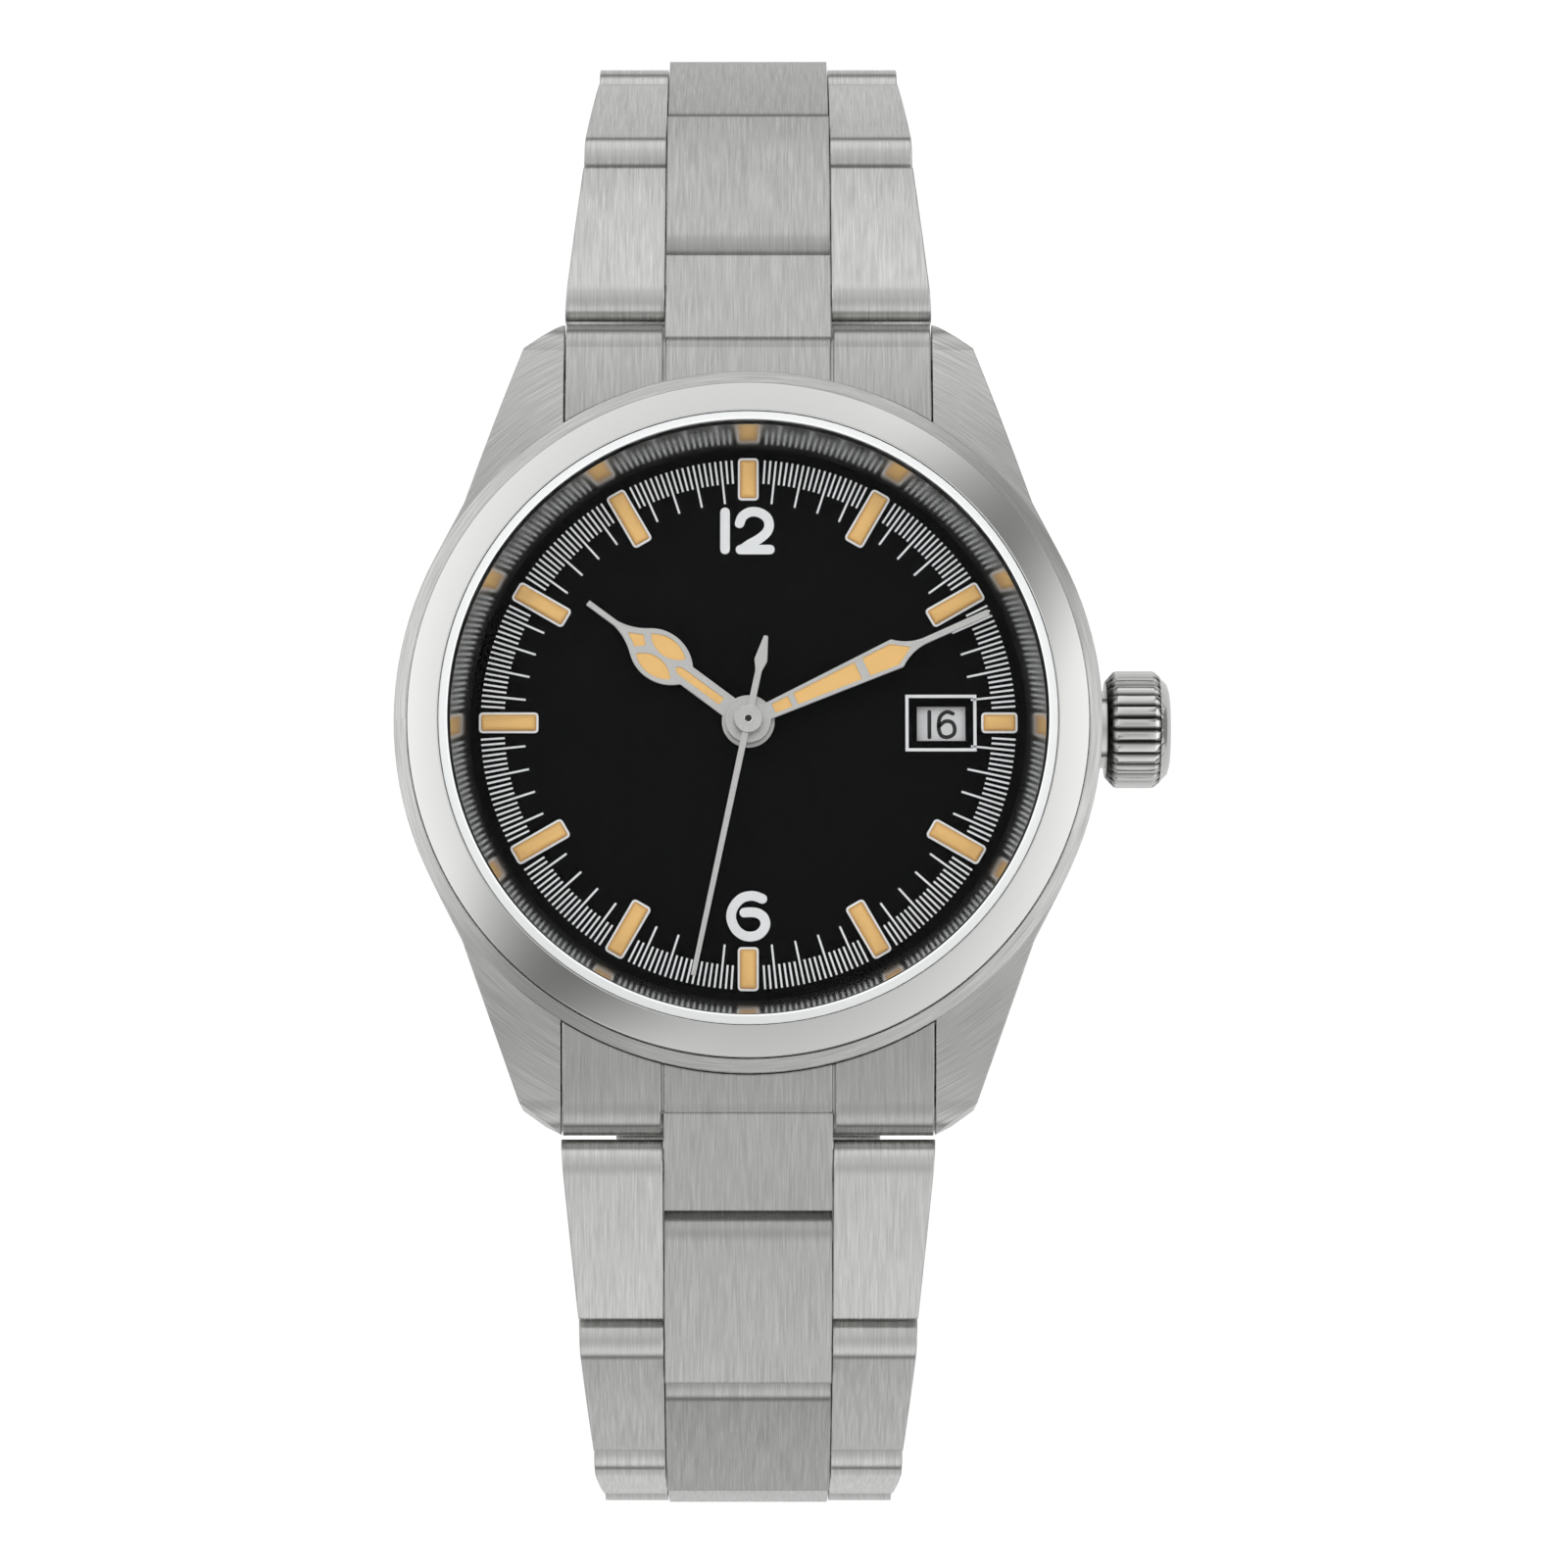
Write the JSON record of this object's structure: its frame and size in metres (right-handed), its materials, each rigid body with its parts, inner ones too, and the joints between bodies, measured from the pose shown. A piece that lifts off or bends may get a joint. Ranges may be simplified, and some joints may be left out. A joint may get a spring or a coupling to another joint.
{
  "type": "field watch",
  "caption": "Round steel field watch with a black dial, openworked hands, a knurled crown and a tapered link bracelet on a folding clasp.",
  "frame": {"origin": "centre of the case back's outer face", "axes": "+Z out through the dial, +Y to 12 o'clock along the bracelet, +X to the crown at 3 o'clock"},
  "size_m": [0.0418, 0.0826, 0.0497],
  "materials": {
    "brushed_steel": "brushed lengthwise",
    "polished_steel": "polished",
    "frosted_steel": "fine frosted",
    "movement_brass": "satin plated",
    "dial_black": "matte",
    "marker_white": "satin",
    "lume_cream": "matte",
    "date_grey": "matte",
    "crystal_glass": "polished"
  },
  "bodies": {
    "case": {"mid_case": "brushed_steel", "bezel": "polished_steel", "crystal": "crystal_glass", "rehaut": "frosted_steel", "case_back": "brushed_steel", "crown_tube": "polished_steel", "main_plate": "movement_brass", "movement_bridge": "movement_brass", "dial": "dial_black", "hour_markers": "marker_white", "marker_lume": "lume_cream", "lug_spring_bars": "polished_steel", "end_link_12": "brushed_steel", "end_link_6": "brushed_steel"},
    "rotor": {"rotor": "movement_brass"},
    "balance": {"balance_wheel": "movement_brass"},
    "date": {"date_disc": "date_grey"},
    "hour": {"hour_wheel": "movement_brass", "hour_hand": "frosted_steel", "hour_hand_lume": "lume_cream"},
    "minute": {"cannon_pinion": "polished_steel", "minute_hand": "frosted_steel", "minute_hand_lume": "lume_cream"},
    "seconds": {"seconds_arbor": "polished_steel", "seconds_hand": "frosted_steel"},
    "keyless": {"setting_lever": "polished_steel"},
    "crown": {"crown": "polished_steel", "winding_stem": "polished_steel"},
    "row_12_1": {"row_12_1_outer": "brushed_steel", "row_12_1_centre": "brushed_steel"},
    "row_12_2": {"row_12_2_outer": "brushed_steel", "row_12_2_centre": "brushed_steel"},
    "row_12_3": {"row_12_3_outer": "brushed_steel", "row_12_3_centre": "brushed_steel"},
    "row_12_4": {"row_12_4_outer": "brushed_steel", "row_12_4_centre": "brushed_steel"},
    "row_12_5": {"row_12_5_outer": "brushed_steel", "row_12_5_centre": "brushed_steel"},
    "row_12_6": {"row_12_6_outer": "brushed_steel", "row_12_6_centre": "brushed_steel"},
    "row_6_1": {"row_6_1_outer": "brushed_steel", "row_6_1_centre": "brushed_steel"},
    "row_6_2": {"row_6_2_outer": "brushed_steel", "row_6_2_centre": "brushed_steel"},
    "row_6_3": {"row_6_3_outer": "brushed_steel", "row_6_3_centre": "brushed_steel"},
    "row_6_4": {"row_6_4_outer": "brushed_steel", "row_6_4_centre": "brushed_steel"},
    "row_6_5": {"row_6_5_outer": "brushed_steel", "row_6_5_centre": "brushed_steel"},
    "row_6_6": {"row_6_6_outer": "brushed_steel", "row_6_6_centre": "brushed_steel"},
    "clasp_inner": {"clasp_blade_inner": "polished_steel"},
    "clasp_outer": {"clasp_blade_outer": "polished_steel"},
    "clasp_cover": {"clasp_cover": "brushed_steel"},
    "safety_flap": {"safety_flap": "brushed_steel"}
  },
  "joints": [
    {"name": "minute_turn", "type": "hinge", "parent": "case", "child": "minute", "pos_m": [0, 0, 0.007], "axis": [0, 0, -1], "continuous": true},
    {"name": "hour_turn", "type": "hinge", "parent": "case", "child": "hour", "pos_m": [0, 0, 0.007], "axis": [0, 0, -1], "continuous": true},
    {"name": "seconds_turn", "type": "hinge", "parent": "case", "child": "seconds", "pos_m": [0, 0, 0.008], "axis": [0, 0, -1], "continuous": true},
    {"name": "date_turn", "type": "hinge", "parent": "case", "child": "date", "pos_m": [0, 0, 0.006], "axis": [0, 0, 1], "continuous": true},
    {"name": "rotor_swing", "type": "hinge", "parent": "case", "child": "rotor", "pos_m": [0, 0, 0.002], "axis": [0, 0, 1], "continuous": true},
    {"name": "balance_swing", "type": "hinge", "parent": "case", "child": "balance", "pos_m": [-0.0052, -0.0064, 0.0034], "axis": [0, 0, 1], "range_deg": [-150, 150]},
    {"name": "crown_pull", "type": "slide", "parent": "case", "child": "keyless", "axis": [1, 0, 0], "range_m": [0, 0.0013]},
    {"name": "crown_turn", "type": "hinge", "parent": "keyless", "child": "crown", "pos_m": [0.02, 0, 0.0049], "axis": [1, 0, 0], "continuous": true},
    {"name": "row_12_1_bend", "type": "hinge", "parent": "case", "child": "row_12_1", "pos_m": [0, 0.02395, 0.0054], "axis": [1, 0, 0], "range_deg": [0, 15]},
    {"name": "row_12_2_bend", "type": "hinge", "parent": "row_12_1", "child": "row_12_2", "pos_m": [0, 0.03286, 0.00086], "axis": [1, 0, 0], "range_deg": [0, 33]},
    {"name": "row_12_3_bend", "type": "hinge", "parent": "row_12_2", "child": "row_12_3", "pos_m": [0, 0.03854, -0.00737], "axis": [1, 0, 0], "range_deg": [0, 33]},
    {"name": "row_12_4_bend", "type": "hinge", "parent": "row_12_3", "child": "row_12_4", "pos_m": [0, 0.03962, -0.01731], "axis": [1, 0, 0], "range_deg": [0, 33]},
    {"name": "row_12_5_bend", "type": "hinge", "parent": "row_12_4", "child": "row_12_5", "pos_m": [0, 0.03584, -0.02657], "axis": [1, 0, 0], "range_deg": [0, 33]},
    {"name": "row_12_6_bend", "type": "hinge", "parent": "row_12_5", "child": "row_12_6", "pos_m": [0, 0.02811, -0.03292], "axis": [1, 0, 0], "range_deg": [0, 33]},
    {"name": "row_6_1_bend", "type": "hinge", "parent": "case", "child": "row_6_1", "pos_m": [0, -0.02395, 0.0054], "axis": [-1, 0, 0], "range_deg": [0, 15]},
    {"name": "row_6_2_bend", "type": "hinge", "parent": "row_6_1", "child": "row_6_2", "pos_m": [0, -0.03286, 0.00086], "axis": [-1, 0, 0], "range_deg": [0, 33]},
    {"name": "row_6_3_bend", "type": "hinge", "parent": "row_6_2", "child": "row_6_3", "pos_m": [0, -0.03854, -0.00737], "axis": [-1, 0, 0], "range_deg": [0, 33]},
    {"name": "row_6_4_bend", "type": "hinge", "parent": "row_6_3", "child": "row_6_4", "pos_m": [0, -0.03962, -0.01731], "axis": [-1, 0, 0], "range_deg": [0, 33]},
    {"name": "row_6_5_bend", "type": "hinge", "parent": "row_6_4", "child": "row_6_5", "pos_m": [0, -0.03584, -0.02657], "axis": [-1, 0, 0], "range_deg": [0, 33]},
    {"name": "row_6_6_bend", "type": "hinge", "parent": "row_6_5", "child": "row_6_6", "pos_m": [0, -0.02811, -0.03292], "axis": [-1, 0, 0], "range_deg": [0, 33]},
    {"name": "clasp_inner_swing", "type": "hinge", "parent": "row_12_6", "child": "clasp_inner", "pos_m": [0, 0.02203, -0.0341], "axis": [1, 0, 0], "range_deg": [0, 90]},
    {"name": "clasp_fold", "type": "hinge", "parent": "clasp_inner", "child": "clasp_outer", "pos_m": [0, -0.012, -0.0366], "axis": [-1, 0, 0], "range_deg": [0, 140]},
    {"name": "clasp_cover_swing", "type": "hinge", "parent": "clasp_outer", "child": "clasp_cover", "pos_m": [0, 0.0182, -0.03613], "axis": [1, 0, 0], "range_deg": [0, 120]},
    {"name": "flap_swing", "type": "hinge", "parent": "clasp_cover", "child": "safety_flap", "pos_m": [0, -0.0068, -0.03857], "axis": [1, 0, 0], "range_deg": [0, 100]}
  ],
  "couplings": [
    {"joint": "hour_turn", "follows": "minute_turn", "ratio": 0.083333}
  ]
}
